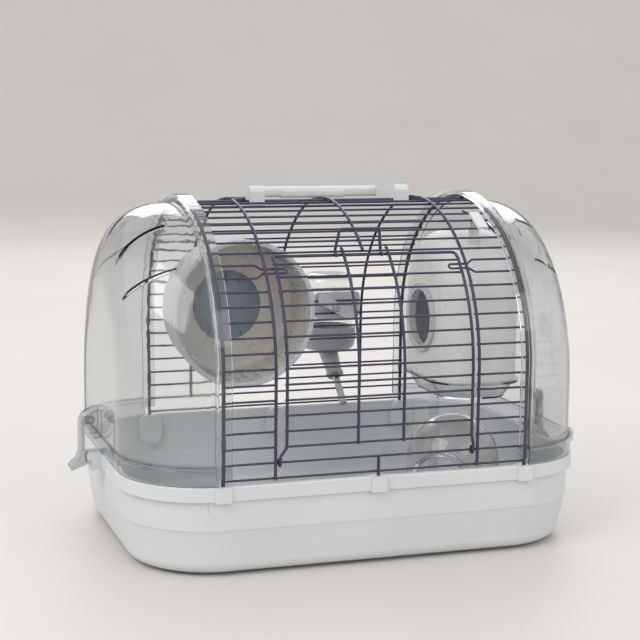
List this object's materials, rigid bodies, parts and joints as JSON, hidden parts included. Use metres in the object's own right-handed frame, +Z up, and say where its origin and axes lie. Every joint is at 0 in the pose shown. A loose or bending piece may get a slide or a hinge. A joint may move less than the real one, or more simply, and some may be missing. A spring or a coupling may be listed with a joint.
{
  "type": "hamster cage",
  "caption": "Capsule-shaped small-pet cage: moulded tray, arched wire grille, clear end domes held by latches, wire door, carry handle, wheel, nest box, bath and bottle.",
  "frame": {"origin": "on the table under the middle of the whole object's outline", "axes": "+X along the cage towards the nest box, +Y from the door to the back, +Z up"},
  "size_m": [0.3994, 0.3039, 0.2646],
  "materials": {
    "wire": "gloss dark blue coating",
    "tray": "satin moulded",
    "feet": "matte",
    "clear": "clear, slightly smoky",
    "clear_bath": "clear, slightly smoky",
    "clear_latch": "clear",
    "dark_trim": "matte",
    "handle": "satin moulded",
    "wheel": "translucent white",
    "wheel_ring": "clear",
    "hub": "blue-grey",
    "house": "translucent white",
    "cap": "satin moulded",
    "steel": "bright"
  },
  "bodies": {
    "cage": {"tray": "tray", "tray_feet": "feet", "dome_left": "clear", "dome_right": "clear", "latch_pin_left": "steel", "latch_pin_right": "steel", "flange_clips": "dark_trim", "end_arch_left": "wire", "end_arch_right": "wire", "arch_wire_left": "wire", "arch_wire_right": "wire", "arch_wire_centre": "wire", "post_front": "wire", "bars_sill": "wire", "bars_front_left": "wire", "bars_front_right": "wire", "bars_roof_front": "wire", "crest_bar": "wire", "bars_roof_back": "wire", "bars_back": "wire", "door_stop_left": "wire", "door_stop_right": "wire", "wheel_axle": "steel", "wheel_bracket": "handle", "wheel_washer": "handle", "wheel_nut": "steel", "house": "house", "house_ring": "wheel_ring", "house_floor": "clear", "house_hook": "house", "house_post": "clear", "sand_bath": "clear_bath", "bath_rim": "clear_bath", "bottle_body": "clear", "bottle_cap": "cap", "bottle_neck": "cap", "spout_collar": "cap", "spout_tube": "steel", "bottle_holder": "handle", "bottle_clamp": "handle", "clamp_screw": "steel"},
    "door": {"door_frame": "wire", "door_bars": "wire", "door_uprights": "wire", "door_catch": "wire"},
    "handle": {"carry_handle": "handle"},
    "left_latch": {"latch_left": "clear_latch"},
    "right_latch": {"latch_right": "clear_latch"},
    "wheel": {"wheel_drum": "wheel", "wheel_front_ring": "wheel_ring", "wheel_hub": "hub"},
    "ball": {"spout_ball": "steel"}
  },
  "joints": [
    {"name": "door_hinge", "type": "hinge", "parent": "cage", "child": "door", "pos_m": [0.0015, -0.145, 0.08], "axis": [1, 0, 0], "range_deg": [0, 110]},
    {"name": "handle_hinge", "type": "hinge", "parent": "cage", "child": "handle", "pos_m": [0.003, -0.0225, 0.2527], "axis": [1, 0, 0], "range_deg": [0, 95]},
    {"name": "left_latch_hinge", "type": "hinge", "parent": "cage", "child": "left_latch", "pos_m": [-0.1845, -0.0225, 0.093], "axis": [0, 1, 0], "range_deg": [0, 100]},
    {"name": "right_latch_hinge", "type": "hinge", "parent": "cage", "child": "right_latch", "pos_m": [0.1845, -0.0225, 0.093], "axis": [0, -1, 0], "range_deg": [0, 100]},
    {"name": "wheel_spin", "type": "hinge", "parent": "cage", "child": "wheel", "pos_m": [-0.056, 0.0345, 0.1623], "axis": [0, 1, 0], "continuous": true},
    {"name": "spout_ball_lift", "type": "slide", "parent": "cage", "child": "ball", "axis": [0, 0.7361, 0.6769], "range_m": [0, 0.001]}
  ]
}
